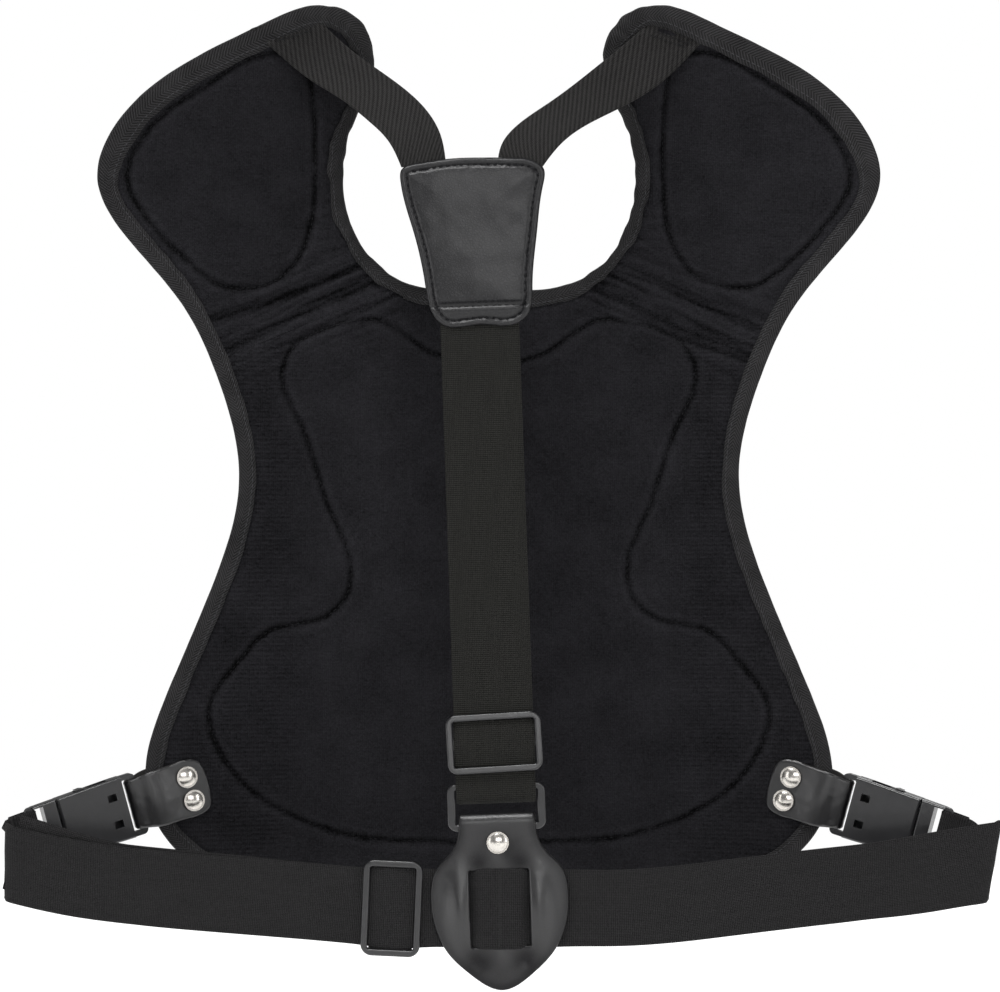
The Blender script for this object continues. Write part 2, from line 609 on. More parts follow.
def sewn_strip(seed, extra=0.13, cell=1.3, frames=34, scale=0.02):
    """Heights of a strip of cloth sewn in shorter than it was cut, from a short cloth simulation: its seams are
    drawn together while the cloth between them folds as it likes. Rows go up the strip, columns along it."""
    nx, nz = int(STRIP_LONG / cell) + 1, int(STRIP_WIDE / cell) + 1
    x, z = np.meshgrid(np.linspace(0, STRIP_LONG, nx), np.linspace(-STRIP_WIDE / 2, STRIP_WIDE / 2, nz))
    seam = (x < 1) | (x > STRIP_LONG - 1) | (np.abs(z) > STRIP_WIDE / 2 - 1)
    start = np.where(seam, 0, np.random.default_rng(seed).normal(0, 0.12, x.shape))
    sewn, loose = (np.stack([x, start, z * k], -1).reshape(-1, 3) * scale for k in (1, 1 + extra))
    row, col = np.meshgrid(np.arange(nz - 1), np.arange(nx - 1), indexing="ij")
    corner = (row * nx + col).ravel()
    mesh = bpy.data.meshes.new("strip")
    mesh.from_pydata(loose.tolist(), [], np.stack([corner, corner + 1, corner + nx + 1, corner + nx], 1).tolist())
    strip = placed("strip", mesh)
    strip.vertex_groups.new(name="seam").add(np.nonzero(seam.ravel())[0].tolist(), 1.0, "REPLACE")
    strip.shape_key_add(name="loose")
    key = strip.shape_key_add(name="sewn")
    key.data.foreach_set("co", sewn.ravel())
    for moment, value in ((1, 0.0), (frames - 12, 1.0)):
        key.value = value
        key.keyframe_insert("value", frame=moment)
    cloth = strip.modifiers.new("cloth", "CLOTH")
    cloth.point_cache.frame_start, cloth.point_cache.frame_end = 1, frames
    cloth.collision_settings.use_collision = False
    fabric = cloth.settings
    fabric.vertex_group_mass, fabric.quality, fabric.mass, fabric.air_damping = "seam", 6, 0.3, 1.0
    fabric.tension_stiffness = fabric.compression_stiffness = 15
    fabric.shear_stiffness, fabric.bending_stiffness = 5, 0.03
    fabric.effector_weights.gravity = 0
    for step in range(1, frames + 1):
        bpy.context.scene.frame_set(step)
    settled = strip.evaluated_get(bpy.context.evaluated_depsgraph_get()).data
    places = np.empty(len(settled.vertices) * 3, np.float32)
    settled.vertices.foreach_get("co", places)
    action = mesh.shape_keys.animation_data.action
    bpy.data.objects.remove(strip)
    bpy.data.meshes.remove(mesh)
    bpy.data.actions.remove(action)
    bpy.context.scene.frame_set(1)
    height = np.pad(places.reshape(nz, nx, 3)[..., 1] / scale, 1, mode="edge")
    height = (height[:-2] + 2 * height[1:-1] + height[2:]) / 4
    return (height[:, :-2] + 2 * height[:, 1:-1] + height[:, 2:]) / 4


PAD_THICK = 7.7
STRIP_LONG, STRIP_WIDE, STRIP_UNIT = 172.0, 74.0, 0.78
STRIPS = [sewn_strip(3), sewn_strip(4)]


def looked_up(table, u, v):
    """Values of a table at places from 0 to 1 across its columns and rows."""
    u, v = np.clip(u, 0, 0.9999) * (table.shape[1] - 1), np.clip(v, 0, 0.9999) * (table.shape[0] - 1)
    i, j = u.astype(int), v.astype(int)
    s, t = u - i, v - j
    low = table[j, i] * (1 - s) + table[j, i + 1] * s
    return low * (1 - t) + (table[j + 1, i] * (1 - s) + table[j + 1, i + 1] * s) * t


def gathers(points, edge, fold, reach, seed):
    """Wrinkles of the unpadded strip, which spread over its seams, and puckers along the neck."""
    x, z = points.T
    u = (reach + 12) / (STRIP_LONG * STRIP_UNIT)
    v = 0.5 + (fold + 1.5 * cloudy(reach / 24, fold / 17, seed)) / (STRIP_WIDE * STRIP_UNIT)
    fine = [1 - np.abs(1 - 2.6 * place % 2) for place in (u, v)]
    left, right = (0.5 * looked_up(STRIPS[(seed + k) % 2], u if k else 1 - u, v)
                   + 0.5 * looked_up(STRIPS[(seed + k + 1) % 2], *fine) for k in (0, 1))
    wrinkles = np.where(x < 0, left, right) * bell(fold + 1, 21)
    neck = bell(edge - 11, 9) * bell(z - 30, 36) * (np.abs(x) < 100)
    pucker = np.minimum(2.2 * np.abs(cloudy(z / 4.2, edge / 19, seed + 4)), 1) - 0.6
    return smooth(edge / 9) * (0.95 * wrinkles + 0.6 * neck * pucker)


def off_fold(fold):
    """How far a place belongs to the chest, and to a shoulder, away from the gathered strip between them."""
    return smooth((-fold - 9) / 16), smooth((fold - 9) / 16)


def unpadded(edge, fold):
    """Where the gathered strip has no foam in it."""
    return smooth((12.5 - np.abs(fold)) / 5) * smooth(edge / 12)


def lining_depth(points):
    x, z = points.T
    edge, centre, shoulder, fold, reach = pad_fields(points)
    chest, cap = off_fold(fold)
    rim = smooth((edge - 6.5) / 10)
    bulge = chest * np.where(centre > 0, pillow(centre, 3.6, 12), pillow(-centre, 2.1, 7))
    bulge += cap * np.where(shoulder > 0, pillow(shoulder, 4.2, 13), pillow(-shoulder, 2.0, 6.5))
    groove = chest * bell(centre, 1.5) + cap * bell(shoulder, 1.5)
    wide = chest * bell(centre, 6) + cap * bell(shoulder, 6)
    waves = 0.55 * cloudy(x / 34, z / 34, 3) + 0.28 * cloudy(x / 13, z / 13, 4)
    pucker = 0.5 * wide * cloudy(x / 3.4, z / 3.4, 5) + 0.28 * wide * cloudy(x / 2.1, z / 2.1, 6)
    lift = rim * (bulge + waves + pucker - groove) + 0.9 * gathers(points, edge, fold, reach, 11)
    return 0.35 + 0.9 * unpadded(edge, fold) - lift


def cover_depth(points):
    x, z = points.T
    edge, centre, shoulder, fold, reach = pad_fields(points)
    blocks = np.maximum.reduce([centre, shoulder, *(depth_in(FLANKS[s], points) for s in FLANKS)])
    raised = 11.6 * smooth((blocks + 1.4) / 4.6) + pillow(blocks - 2, 1.3, 16)
    seam = 0.9 * bell(blocks + 4.4, 1.5) + 0.7 * bell(np.abs(fold) - FOLD_HALF, 1.8)
    waves = 0.35 * cloudy(x / 30, z / 30, 23) + 0.25 * bell(blocks + 3, 5) * cloudy(x / 4, z / 4, 24)
    rim = smooth((edge - 7) / 8)
    flat = PAD_THICK - 1.2 * unpadded(edge, fold)
    return flat + rim * (raised + waves - seam) + 0.8 * gathers(points, edge, fold, reach, 31)


def seam_shade(points):
    """Where the pile is pressed down in a seam, and a little worn to each side of it (negative)."""
    x, z = points.T
    edge, centre, shoulder, fold, reach = pad_fields(points)
    chest, cap = off_fold(fold)
    uneven = 0.75 + 0.35 * cloudy(x / 11, z / 11, 13)
    line = chest * bell(centre, 1.25) + cap * bell(shoulder, 1.25)
    worn = chest * bell(np.abs(centre) - 3.6, 1.6) + cap * bell(np.abs(shoulder) - 3.6, 1.6)
    hollow = 0.38 * np.clip(-0.1 - gathers(points, edge, fold, reach, 11), -0.6, 1)
    return 0.62 * line * uneven - 0.12 * worn + hollow


def inner_face(points):
    return on_pad(*points.T, lining_depth(points))


def outer_face(points):
    return on_pad(*points.T, cover_depth(points))


def to_wearer(points):
    """Unit direction out of the lining, towards the wearer."""
    x, z = points.T
    d = np.zeros(len(x))
    slope_x = shell_y(x + 0.5, z, d) - shell_y(x - 0.5, z, d)
    slope_z = shell_y(x, z + 0.5, d) - shell_y(x, z - 0.5, d)
    out = np.stack([slope_x, -np.ones(len(x)), slope_z], 1)
    return out / np.linalg.norm(out, axis=1)[:, None]


def fold_blend(piece):
    """Fabric across a shoulder's fold: it keeps to the chest below the gathered strip, and turns above it."""
    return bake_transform(piece)


CLOTH_EDGE = moved_in(OUTLINE, 1.3)
EDGE_FOLD = fold_place(CLOTH_EDGE)[0]
TUCK = 3.0


def tucked(points):
    """How far the chest's cloth runs under the gathered strip's edge."""
    return 0.45 * smooth((fold_place(points)[0] + FOLD_HALF + 0.6) / 1.6)


def chest_inner(points):
    return on_pad(*points.T, lining_depth(points) + tucked(points))


def chest_outer(points):
    return on_pad(*points.T, cover_depth(points) - tucked(points))


shape = clipped(CLOTH_EDGE, EDGE_FOLD <= TUCK - FOLD_HALF)
chest = slab("chest_pad", shape, 1.5 * COARSE, chest_inner, chest_outer, [LINING, COVER],
             rim_material=1, crease=seam_shade, body="vest", slot="lining_knit",
             stands_for=["chest_lining", "chest_base_foam", "chest_cover", "centre_foam_block",
                         "left_flank_foam_block", "right_flank_foam_block"])
for side, sign in (("left", -1), ("right", 1)):
    shape = clipped(CLOTH_EDGE, (EDGE_FOLD > -FOLD_HALF) & (CLOTH_EDGE[:, 0] * sign > 0))
    layers = [f"{side}_shoulder_{part}" for part in ("lining", "base_foam", "foam_block", "cover")]
    cap = slab(side + "_shoulder_pad", shape, 1.3 * COARSE, inner_face, outer_face, [LINING, COVER],
               rim_material=1, crease=seam_shade, slot="lining_knit", stands_for=[*layers, side + "_gather_panel"])
    fold_blend(cap)


def edge_line(first, last, step):
    """Places, inward directions and arc lengths on the pad's edge between two arc lengths."""
    closed = np.vstack([OUTLINE, OUTLINE, OUTLINE, OUTLINE[:1]])
    whole = along(closed)[len(OUTLINE)]
    places = np.append(np.arange(first, last, step), last)
    points = resample(closed, places + whole)
    run = directions(resample(closed, np.concatenate([places, [last + step]]) + whole))[:-1]
    inward = np.stack([-run[:, 1], run[:, 0]], 1)
    middle = points + inward * 4
    return points, inward if inside(OUTLINE, middle).mean() > 0.5 else -inward, places


# Place of the folded tape's surface from the pad's edge, as a part of its lip, and its depth in the pad.
TAPE_SECTION = [
    (0.97, -0.55), (1.0, -1.0), (0.94, -1.32), (0.84, -1.2), (0.6, -1.35), (0.3, -1.15), (0.1, -0.62),
    (0.02, 0.9), (0.0, 3.0), (0.0, 5.2), (0.02, 7.3), (0.1, 8.75), (0.3, 9.25), (0.6, 9.4), (0.84, 9.2),
    (0.94, 9.35), (1.0, 9.0), (0.97, 8.5), (0.9, 8.5), (0.5, 8.5), (0.2, 8.2), (0.12, 6.5), (0.1, 4.0),
    (0.12, 1.5), (0.2, -0.1), (0.5, -0.45), (0.9, -0.45),
]


def binding(name, first, last):
    """Tape folded over the pad's edge from one arc length to another, pulled in here and there by its stitching."""
    points, inward, s = edge_line(first, last, 1.25 * COARSE)
    x, z = points.T
    neck = bell(np.abs(x) - 66, 26) * smooth((z + 12) / 20)
    ripple = (0.35 + 0.8 * neck) * cloudy(s / 6, 0 * s, 41) + 0.3 * cloudy(s / 31, 0 * s, 42)
    lip = 9.3 + ripple - 2.6 * neck + 3.2 * smooth((z - 30) / 60) * smooth((np.abs(x) - 70) / 30)
    lip += 7 * bell(np.hypot(np.abs(x) - 71, z - 140), 15)
    swell = (0.25 * cloudy(s / 4.3, 0 * s, 43) * (0.5 + 2 * neck)
             + 0.9 * bell(np.abs(x) - 107, 20) * smooth((z - 125) / 8))
    drawn = neck * (0.5 + 0.7 * cloudy(s / 5.2, 0 * s, 44))
    a, d = np.array(TAPE_SECTION).T
    inset = a[None, :] * lip[:, None] - 0.25 * bell(a - 0.05, 0.1)[None, :] * (1 + ripple[:, None]) + drawn[:, None]
    depth = d[None, :] + swell[:, None] * np.sign(d - 4)[None, :] * (a > 0.15)
    flat = points[:, None] + inward[:, None] * inset[:, :, None]
    rings = on_pad(flat[..., 0], flat[..., 1], depth)
    v = np.concatenate([[0], np.cumsum(np.hypot(np.diff(a * 9.5), np.diff(d)))])
    cloth = np.stack(np.broadcast_arrays(s[:, None], v, 0.0), -1)
    pieces = [lofted(name, rings, cloth, [BINDING], slot="binding_tape")]
    line = points + inward * (lip * 0.80)[:, None]
    for row, (at, face) in enumerate(((-1.3, 1), (9.35, -1))):
        spot = on_pad(line[:, 0], line[:, 1], at + swell * np.sign(at - 4))
        pieces.append(stitches(f"{name}_stitching_{row}", spot[1:-1], face * to_wearer(line)[1:-1], GREY_THREAD,
                               2.3, 0.8, 0.27))
    return pieces


def edge_ranges():
    """Arc lengths where the right shoulder's stretch starts and ends, and the whole edge's length."""
    s = along(np.vstack([OUTLINE, OUTLINE[:1]]))
    fold = fold_place(OUTLINE)[0]
    right = (fold > -FOLD_HALF - 1) & (OUTLINE[:, 0] > 0)
    return s[:-1][right].min(), s[:-1][right].max(), s[-1]


UP, DOWN, ROUND = edge_ranges()
for pieces in (binding("hem_binding", DOWN, ROUND - DOWN), binding("neck_binding", -UP, UP)):
    for piece in pieces:
        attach(piece, "vest")
    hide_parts("chest_binding")
for side, first, last in (("right", UP, DOWN), ("left", ROUND - DOWN, ROUND - UP)):
    pieces = binding(side + "_shoulder_binding_tape", first, last)
    for piece in pieces:
        fold_blend(piece)
    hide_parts(side + "_shoulder_binding")


def quilting(name, shape, body, face="lining"):
    """Stitches in the groove of a quilted outline, on the lining or round a pocket on the cover."""
    line = np.vstack([shape, shape[:1]])
    up = to_wearer(line)
    if face == "lining":
        return stitches(name, inner_face(line) + up * 0.15, up, DARK_THREAD, 2.1, 1.1, 0.24, body=body)
    return stitches(name, outer_face(line) - up * 0.15, -up, GREY_THREAD, 2.6, 1.0, 0.28, body=body)


POCKET_SEAM, FLANK_SEAM = 4.4, 2.9
quilting("centre_quilting", CENTRE, "vest")
quilting("centre_pocket_stitching", moved_in(CENTRE, -POCKET_SEAM), "vest", "cover")
for side in SHOULDERS:
    body = side + "_shoulder"
    quilting(body + "_quilting", SHOULDERS[side], body)
    quilting(body + "_pocket_stitching", moved_in(SHOULDERS[side], -POCKET_SEAM), body, "cover")
    quilting(side + "_flank_pocket_stitching", moved_in(FLANKS[side], -FLANK_SEAM), "vest", "cover")


# ---- harness: yoke, back strap, V straps ----

def rounded(corners, radius):
    """A dense closed line through corners, each rounded with an arc."""
    c, out = np.array(corners, float), []
    for before, corner, after in zip(np.roll(c, 1, 0), c, np.roll(c, -1, 0)):
        a, b = ((end - corner) / np.linalg.norm(end - corner) for end in (before, after))
        half = math.acos(np.clip(a @ b, -1, 1)) / 2
        middle = corner + (a + b) / np.linalg.norm(a + b) * radius / math.sin(half)
        first, last = (corner + way * radius / math.tan(half) - middle for way in (a, b))
        t = np.linspace(0, 1, 12)[:, None]
        arc = first * (1 - t) + last * t
        out.append(middle + arc / np.linalg.norm(arc, axis=1)[:, None] * radius)
    whole = np.vstack(out)
    closed = np.vstack([whole, whole[:1]])
    return resample(closed, np.arange(0, along(closed)[-1], 0.4))


YOKE = cubic([
    (-38.7, 388), (-39.2, 382.3), (-33.3, 355.6), (-28.0, 326.5), (-24.6, 311.6), (-18.8, 305.4), (0, 305.2),
    (18.9, 305), (25.7, 310), (28.5, 324.6), (31.9, 353.4), (35.9, 377.6), (36.5, 386.5), (31.8, 390.6),
    (21.6, 392.6), (4, 393.4), (-13.7, 393.3), (-29.1, 391.5),
], 0.4, True)
YOKE_FRONT, YOKE_REAR = -82.4, -78.3
YOKE_GROOVE, YOKE_SEAM, YOKE_ROW = 3.7, 315.4, 317.1


def yoke_rise(points):
    x, h = points.T
    s = depth_in(YOKE, points)
    roll = 1.3 * np.sqrt(np.clip(1 - (1 - np.clip(s / 1.9, 0, 1)) ** 2, 0, 1))
    dents = 0.55 * cloudy(x / 17 + 2, h / 17, 51) + 0.13 * cloudy(x / 7, h / 7, 52)
    puff = pillow(s - YOKE_GROOVE - 0.7, 1.5, 7)
    seam = 0.85 * bell(h - YOKE_SEAM, 0.8) - 0.45 * bell(h - YOKE_SEAM + 2.4, 1.4)
    pinch = 0.3 * bell(s - YOKE_GROOVE, 1.8) * cloudy(x / 2.0, h / 2.0, 53)
    return roll + puff + dents * smooth(s / 6) - 0.95 * bell(s - YOKE_GROOVE, 0.95) - seam * smooth(s / 2) + pinch


def yoke_face(points):
    return on_harness(points[:, 0], YOKE_FRONT - yoke_rise(points), points[:, 1])


def yoke_back(points):
    x, h = points.T
    rolled = 0.9 * (1 - smooth(depth_in(YOKE, points) / 2))
    return on_harness(x, YOKE_REAR - rolled + 0.2 * cloudy(x / 9, h / 9, 54), h)


def yoke_groove(points):
    s = depth_in(YOKE, points)
    return bell(s - YOKE_GROOVE, 0.8) + bell(points[:, 1] - YOKE_ROW, 0.8) * smooth((s - 4) / 2)


yoke = slab("yoke_pad", YOKE, 0.7 * COARSE, yoke_face, yoke_back, [LEATHER, BACKING], crease=yoke_groove,
            body="vest", slot="black_leather", stands_for=["yoke_face", "yoke_foam", "yoke_backing"])
loop = moved_in(YOKE, YOKE_GROOVE)
for name, line in (("yoke_edge_stitching", np.vstack([loop, loop[:1]])),
                   ("yoke_cross_stitching", np.stack([np.linspace(-20.5, 22.5, 90), np.full(90, YOKE_ROW)], 1))):
    up = np.repeat([[0.0, -1.0, 0.0]], len(line), 0)
    stitches(name, yoke_face(line) + 0.2 * up, up, DARK_THREAD, 2.3, 1.3, 0.42, body="vest")

STRAP_SLOPE = 0.0955


def on_strap(h):
    return -81 - STRAP_SLOPE * (303 - h)


def curl(s, v):
    """How far the back strap's cloth stands out of its flat path."""
    broad, fine = 0.5 * cloudy(s / 47, v * 0.8, 62), 0.12 * cloudy(s / 9, v * 3, 63)
    return 0.35 * v ** 2 * cloudy(s / 60, 0 * s, 61) + broad + fine


def strap_path(points, step=1.6):
    line = cubic(points, step * COARSE, False)
    return on_harness(np.zeros(len(line)), line[:, 0], line[:, 1])


STRAP_ACROSS = on_harness(np.array([1.0]), 0.0, np.array([0.0]))[0] - np.array([HARNESS[0], 0, HARNESS[1]])
main = strap_path([(-81, 319), (-81, 306), *((on_strap(h), h) for h in (290, 243, 189, 145, 108, 86)), (-102.7, 74),
                   (-103.1, 66), (-103.0, 60.0), (-102.0, 56.3), (-100, 55.0), (-98.0, 56.3)])
back_strap = web("back_strap_web", main, STRAP_ACROSS, 41.6, 1.6, STRAP, slot="strap_elastic",
                 bow=lambda s, v: curl(s, v) * smooth((158 - s) / 40), stands_for=["back_strap"])
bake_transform(back_strap)
turn = strap_path([(-98.05, 56.2), (-97.1, 59.5), (-96.9, 63.5), (-97.2, 68), (-98.6, 75), (-99.6, 80),
                   (-99.9, 84)], 1.0)
end = web("back_strap_return", turn, STRAP_ACROSS, 41.2, 1.5, STRAP, shift=250.0, slot="strap_elastic")
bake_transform(end)


# The short arch of web over a slider's middle bar: place along the web, and height in front of it.
ARCH = np.linspace(-1, 1, 25) * 11.4
ARCH_RISE = 0.3 + 1.35 * np.cos(np.linspace(-1, 1, 25) * math.pi / 2) ** 1.4
slope_run, slope_out = np.array([STRAP_SLOPE, 1]), np.array([-1, STRAP_SLOPE])
spot = np.array([on_strap(85.8), 85.8]) + ARCH[:, None] * slope_run + ARCH_RISE[:, None] * slope_out
web("back_slider_web", on_harness(np.zeros(25), spot[:, 0], spot[:, 1]), STRAP_ACROSS, 42.2, 1.5, STRAP,
    shift=217.0, body="back_slider", slot="strap_elastic")

V_STRAPS = {
    "left": ([(-97, 148.5), (-72.5, 125.9), (-48, 107), (-31.1, 89.2), (-25.5, 78), (-22.5, 62)],
             [(-128, 137), (-116, 127), (-96.7, 111.4), (-78, 98.5), (-64.2, 86.2), (-52.6, 73.6), (-46, 60)]),
    "right": ([(91, 145.5), (59, 119), (31.5, 96.5), (14, 82.5), (7, 73), (4.5, 61)],
              [(119, 136), (93.5, 110.5), (64.5, 91.5), (39, 73.5), (27.5, 59)]),
}


def v_strap(side, upper, lower):
    """A shoulder strap between its two edges as seen from behind, twisting a little as it nears the yoke."""
    count, columns = int(90 / COARSE), 24
    up, low = cubic(upper, 0.8, False), cubic(lower, 0.8, False)
    t = np.linspace(0, 1, count)[:, None]
    v = np.linspace(-1, 1, columns)[None, :]
    a, b = (resample(line, t[:, 0] * along(line)[-1]) for line in (up, low))
    flat = a[:, None] * (1 + v[..., None]) / 2 + b[:, None] * (1 - v[..., None]) / 2
    pad = shell_y(flat[..., 0], flat[..., 1], 0.1 - 1.7 * smooth((t - 0.05) / 0.07))
    leave = smooth((t - 0.1) / 0.9)
    y = pad * (1 - leave) + (-79.6) * leave - 1.5 * np.sin(math.pi * t) - 0.8 * t
    y += (4.2 * smooth((t - 0.45) / 0.4) * (1 - 0.55 * smooth((t - 0.86) / 0.14)) - 2.6 * bell(t - 0.36, 0.16)) * v
    y += 0.5 * cloudy(t * 5.5 + 0 * v, v * 1.2 + 0 * t, 71) - 1.1 * (1 - v ** 2) * bell(t - 0.8, 0.2)
    sheet = np.stack([flat[..., 0], y, flat[..., 1]], -1)
    run, over = np.gradient(sheet, axis=0), np.gradient(sheet, axis=1)
    out = np.cross(run, over)
    out *= -np.sign(out[..., 1:2]) / np.linalg.norm(out, axis=-1)[..., None]
    rings = two_faced(sheet, out, selvedge(v, 1.6)[..., None])
    u = along(sheet[:, columns // 2])
    cloth = np.stack(np.broadcast_arrays(u[:, None], np.concatenate([v, v[:, ::-1]], 1) * 14.5, 0.0), -1)
    made = lofted(side + "_shoulder_strap_web", rings, cloth, [RIBBED], slot="strap_elastic",
                  stands_for=[side + "_shoulder_strap"])
    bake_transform(made)
    lift = np.repeat(out[6:7, 11], 20, 0)
    w = np.linspace(0, 1, 20)[:, None]
    for k, (i, j, p, q) in enumerate([(7, 7, 3, 20), (9, 9, 3, 20), (2, 10, 2, 6), (10, 2, 6, 10)]):
        at = sheet[i, p] * (1 - w) + sheet[j, q] * w
        stitches(f"{side}_strap_tack_{k}", at + lift * 0.95, lift, DARK_THREAD, 2.2, 0.5, 0.28,
                 body=side + "_shoulder")


for side, edges in V_STRAPS.items():
    v_strap(side, *edges)


# ---- belt ----

LEFT_RUN = cubic([(-20, BELT_Z), (40, BELT_Z), (64, -328.0), (90, -326.0), (148, -321.5), (193, -317.4),
                  (243, -310.0), (272, -303)], 2, False)
BELT_PLAN = [
    (-0.4, -105.4), (5, -105.4), (9.6, -105.0), (13, -103.2), (16.4, -101.5), (22, -101.1), (30, -101.1),
    (44, -101.0), (62, -100.5), (88, -99.8), (120, -98.9), (165, -97.7), (210, -96.5), (243, -95.6),
]
BAR_TURN = [
    (69.5, 2.7), (65.5, 3.3), (62, 3.3), (58, 3.3), (56.1, 0.2), (58, -3.1), (62, -3.2), (66, -2.3), (70, -1.2),
]
BELT_WIDE, WEB_THICK = 40.0, 1.6


def belt_z(side, out):
    """Height of the belt's middle at a distance from the tab's middle."""
    if side == "left":
        return np.interp(out, LEFT_RUN[:, 0], LEFT_RUN[:, 1])
    past = np.clip(out - 66, 0, None)
    return BELT_Z + math.tan(math.radians(6.6)) * (past + 9 * (np.exp(-past / 9) - 1))


def belt_wave(s, v):
    return 0.45 * cloudy(s / 55, v * 0.9, 81) + 0.14 * cloudy(s / 12, v * 2.5, 82)


UPRIGHT = np.array([0.0, 0.0, 1.0])
BELT_SLOPE, BELT_TILT = 6.1 / 222, 0.044
SPLIT = 88.0


def half_belt(side, reach, rise, lead, spread, still):
    """Half the belt from the tab's middle: behind a lobe, out to its fold at a reach, back in behind itself and
    round the buckle's bar. Near its fold it has a rise, a spread and its upper edge's lead. It is flat for a
    length that is still, where its tab or slider runs, and follows its buckle from free metres outwards."""
    sign = -1 if side == "left" else 1
    flat = np.array(BELT_PLAN + [(reach - 9, -95.2), (reach - 1.5, -93.6), (reach - 1, -85.0), (reach - 7, -77.0)])
    height = belt_z(side, flat[:, 0]) + rise * smooth((flat[:, 0] - 200) / 60)
    lap = np.stack([HARNESS[0] + sign * flat[:, 0], flat[:, 1], height], 1)
    lap[-1, 2] += 2
    u, n = np.array(BAR_TURN).T
    path = cubic(np.vstack([lap, on_buckle(u, np.zeros(len(u)), n, side)]), 1.3 * COARSE, False)
    s = along(path)
    out = (path[:, 0] - HARNESS[0]) * sign
    at_fold = s[np.argmax(out)]
    cut = int(np.argmax(out > SPLIT))
    narrow = smooth((s - at_fold - 2) / 22)
    tilt = np.arctan((belt_z(side, out + 4) - belt_z(side, out - 4)) / 8)
    lean = np.stack([-np.sin(tilt) * sign, 0 * tilt, np.cos(tilt)], 1)
    across = lean * (1 - narrow[:, None]) + BUCKLE_V * np.array([sign, 1, 1]) * narrow[:, None]
    ahead = sign * lead * smooth((out - 165) / 80) * (1 - narrow)
    width = BELT_WIDE + 2.1 * bell(out, 26) + 2.7 * bell(out - 54, 14) * (side == "left")
    width = width + spread * smooth((out - 185) / 50) * (1 - narrow) - 12.4 * narrow

    def bow(d, v):
        calm = smooth((d - still) / 25) * smooth((at_fold - d) / 20)
        bunch = smooth((d - at_fold + 4) / 20) * smooth((s[-1] - 34 - d) / 12)
        return belt_wave(d + 100 * sign, v) * calm + 1.5 * bunch * np.cos(v * 7.5 + 0.6)

    inner, outer = web([side + "_belt_inner", side + "_belt_outer"], path, across, width, WEB_THICK, BELT,
                       columns=30, cut=cut, bow=bow, lean=ahead, slot="belt_elastic", stands_for=["waist_belt"])
    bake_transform(inner)
    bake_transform(outer)


half_belt("left", reach=259.5, rise=0.6, lead=0.24, spread=1.6, still=160)
half_belt("right", reach=259.4, rise=2.0, lead=0.29, spread=3.2, still=32)
flat = np.array([(60, -98.2), (100, -97.4), (150, -96.0), (200, -94.6), (236, -93.4), (256, -92.6)])
line = cubic(flat, 2.0 * COARSE, False)
lift = 1.2 * smooth((line[:, 0] - 90) / 60) + 5.8 * smooth((line[:, 0] - 195) / 62)
lap = np.stack([HARNESS[0] - line[:, 0], line[:, 1], belt_z("left", line[:, 0]) + lift], 1)
doubled = web("left_belt_return", lap, UPRIGHT, BELT_WIDE, WEB_THICK, BELT, shift=400.0, slot="belt_elastic",
              bow=lambda s, v: belt_wave(s + 200, v) * smooth((s - 100) / 25), stands_for=["waist_belt"])
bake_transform(doubled)
place = np.stack([-50.5 + ARCH, -100.65 - ARCH_RISE - BELT_SLOPE * ARCH, BELT_Z - BELT_TILT * ARCH], 1)
web("belt_slider_web", place, UPRIGHT - np.array([BELT_TILT, 0, 0]), 43.0, 1.5, BELT, shift=50.0,
    body="front_slider", slot="belt_elastic")


# ---- leather: belt tab and side tabs ----

def folded(path, wide_axis):
    """Maps flat leather (place across, place along a path) to space: path is a dense line in two dimensions."""
    s, run = along(path), directions(path)

    def place(points, lift):
        at, way = resample(path, points[:, 1]), resample(run, points[:, 1], s)
        off = at + np.stack([way[:, 1], -way[:, 0]], 1) * np.asarray(lift)[:, None]
        return wide_axis(points[:, 0], off)
    return place


TAB_LINE = cubic([
    (-103.2, -43), (-103.2, -20), (-103.2, 0), (-103.2, 20), (-103.2, 33), (-103.1, 42), (-102.3, 46.6),
    (-100, 48.4), (-97.8, 46.9), (-97.1, 42.4), (-98.4, 37.5), (-100.5, 33), (-100.9, 29), (-100.9, 25),
], 0.5, False)
TAB_SHAPE = cubic(mirrored([
    (0, 0), (17, 9), (28.5, 21), (34, 33), (36, 50), (33, 63), (26, 71), (21.5, 78), (20.2, 84), (20, 96),
    (19.6, 110), (17, 116), (0, 117),
]), 0.4, True)
SLITS = [rounded([(c - 2.5, 22.5), (c + 2.5, 22.5), (c + 2.5, 62.9), (c - 2.5, 62.9)], 0.8) for c in (-13.0, 13.0)]
RIVET_S = 77.0


def tab_rise(points):
    """How far the tab's leather stands out to the wearer: lobes pushed up by the belt, a dip under the rivet."""
    x, s = points.T
    lobes = bell(s - 42, 22) * (4.3 * bell(np.abs(x) - 20.5, 7.0) + 0.5 * bell(np.abs(x) - 13, 4))
    dip = 1.5 * bell(np.hypot(x, (s - RIVET_S) * 0.8), 7.0) + 1.1 * bell(np.hypot(np.abs(x) - 13, s - 16), 5.5)
    creases = 0.3 * cloudy(x / 11, s / 14, 91) + 0.04 * cloudy(x / 3, s / 3.6, 92)
    tip = 1.4 * bell(np.hypot(x, s - 8), 12)
    return (lobes - dip + tip) * smooth((84 - s) / 8) + creases * smooth((92 - s) / 8)


def edge_round(points, shape, holes=()):
    edge = depth_in(shape, points)
    for hole in holes:
        edge = np.minimum(edge, -depth_in(hole, points))
    return 0.75 * (1 - np.sqrt(np.clip(1 - (1 - np.clip(edge / 1.3, 0, 1)) ** 2, 0, 1)))


tab_place = folded(TAB_LINE, lambda x, off: on_harness(x, off[:, 0], off[:, 1]))


def tab_front(points):
    return tab_place(points, -(1.0 + tab_rise(points) - edge_round(points, TAB_SHAPE, SLITS)))


